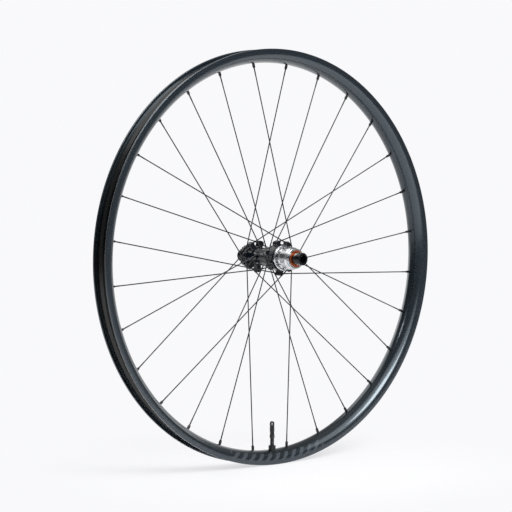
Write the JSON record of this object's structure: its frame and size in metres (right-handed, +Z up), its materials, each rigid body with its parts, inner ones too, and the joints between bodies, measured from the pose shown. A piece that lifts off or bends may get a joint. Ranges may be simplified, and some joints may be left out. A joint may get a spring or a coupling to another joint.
{
  "type": "rear bicycle wheel",
  "caption": "Upright rear bicycle wheel with a hollow carbon rim, crossed straight-pull spokes, a disc brake hub, a ratcheting freehub and a tubeless valve.",
  "frame": {"origin": "middle of the hub on the axle's centre line, which is also the centre of the bounding box", "axes": "+Y along the axle towards the brake disc side, the freehub towards -Y; +Z up; the valve at the bottom"},
  "size_m": [0.634, 0.148, 0.634],
  "materials": {
    "carbon_rim": "satin clear-coated carbon laminate, dark slate",
    "rim_tape_film": "thin film, slightly shiny",
    "spoke_steel": "black oxide, satin",
    "nipple_alloy": "black anodised",
    "hub_anodised": "gloss black anodised",
    "freehub_alloy": "bright machined",
    "end_ring_orange": "orange anodised",
    "axle_alloy": "machined",
    "end_cap_anodised": "satin black anodised",
    "black_rubber": "matt",
    "bearing_steel": "ground steel",
    "valve_anodised": "black anodised"
  },
  "bodies": {
    "axle_set": {"axle": "axle_alloy", "drive_side_end_cap": "end_cap_anodised", "disc_side_end_cap": "end_cap_anodised", "bearing_spacers": "axle_alloy", "drive_side_shell_bearing_inner_ring": "bearing_steel", "disc_side_shell_bearing_inner_ring": "bearing_steel", "inner_freehub_bearing_inner_ring": "bearing_steel", "outer_freehub_bearing_inner_ring": "bearing_steel"},
    "wheel": {"rim": "carbon_rim", "rim_tape": "rim_tape_film", "spoke_01": "spoke_steel", "spoke_02": "spoke_steel", "spoke_03": "spoke_steel", "spoke_04": "spoke_steel", "spoke_05": "spoke_steel", "spoke_06": "spoke_steel", "spoke_07": "spoke_steel", "spoke_08": "spoke_steel", "spoke_09": "spoke_steel", "spoke_10": "spoke_steel", "spoke_11": "spoke_steel", "spoke_12": "spoke_steel", "spoke_13": "spoke_steel", "spoke_14": "spoke_steel", "spoke_15": "spoke_steel", "spoke_16": "spoke_steel", "spoke_17": "spoke_steel", "spoke_18": "spoke_steel", "spoke_19": "spoke_steel", "spoke_20": "spoke_steel", "spoke_21": "spoke_steel", "spoke_22": "spoke_steel", "spoke_23": "spoke_steel", "spoke_24": "spoke_steel", "spoke_25": "spoke_steel", "spoke_26": "spoke_steel", "spoke_27": "spoke_steel", "spoke_28": "spoke_steel", "nipples": "nipple_alloy", "hub_shell": "hub_anodised", "drive_ring": "bearing_steel", "disc_side_seal": "black_rubber", "drive_side_shell_bearing_outer_ring": "bearing_steel", "disc_side_shell_bearing_outer_ring": "bearing_steel", "shell_bearing_balls": "bearing_steel", "valve_seals": "black_rubber", "valve_stem": "valve_anodised", "valve_core": "valve_anodised", "valve_lock_nut": "valve_anodised"},
    "freehub": {"freehub_body": "freehub_alloy", "freehub_end_ring": "end_ring_orange", "freehub_inner_seal": "black_rubber", "inner_freehub_bearing_outer_ring": "bearing_steel", "outer_freehub_bearing_outer_ring": "bearing_steel", "freehub_bearing_balls": "bearing_steel", "pawl_springs": "bearing_steel"},
    "pawl_1": {"pawl_1": "bearing_steel"},
    "pawl_2": {"pawl_2": "bearing_steel"},
    "pawl_3": {"pawl_3": "bearing_steel"},
    "valve_cap": {"valve_cap": "valve_anodised"}
  },
  "joints": [
    {"name": "wheel_spin", "type": "hinge", "parent": "axle_set", "child": "wheel", "pos_m": [0, 0, 0], "axis": [0, 1, 0], "continuous": true},
    {"name": "freehub_spin", "type": "hinge", "parent": "axle_set", "child": "freehub", "pos_m": [0, -0.04, 0], "axis": [0, 1, 0], "continuous": true},
    {"name": "pawl_1_swing", "type": "hinge", "parent": "freehub", "child": "pawl_1", "pos_m": [-0.00207, -0.0205, 0.01172], "axis": [0, -1, 0], "range_deg": [0, 17.3]},
    {"name": "pawl_2_swing", "type": "hinge", "parent": "freehub", "child": "pawl_2", "pos_m": [-0.00912, -0.0205, -0.00765], "axis": [0, -1, 0], "range_deg": [0, 17.3]},
    {"name": "pawl_3_swing", "type": "hinge", "parent": "freehub", "child": "pawl_3", "pos_m": [0.01118, -0.0205, -0.00407], "axis": [0, -1, 0], "range_deg": [0, 17.3]},
    {"name": "valve_cap_lift", "type": "slide", "parent": "wheel", "child": "valve_cap", "axis": [0, 0, 1], "range_m": [0, 0.012]}
  ],
  "couplings": [
    {"joint": "pawl_2_swing", "follows": "pawl_1_swing", "ratio": 1},
    {"joint": "pawl_3_swing", "follows": "pawl_1_swing", "ratio": 1}
  ]
}
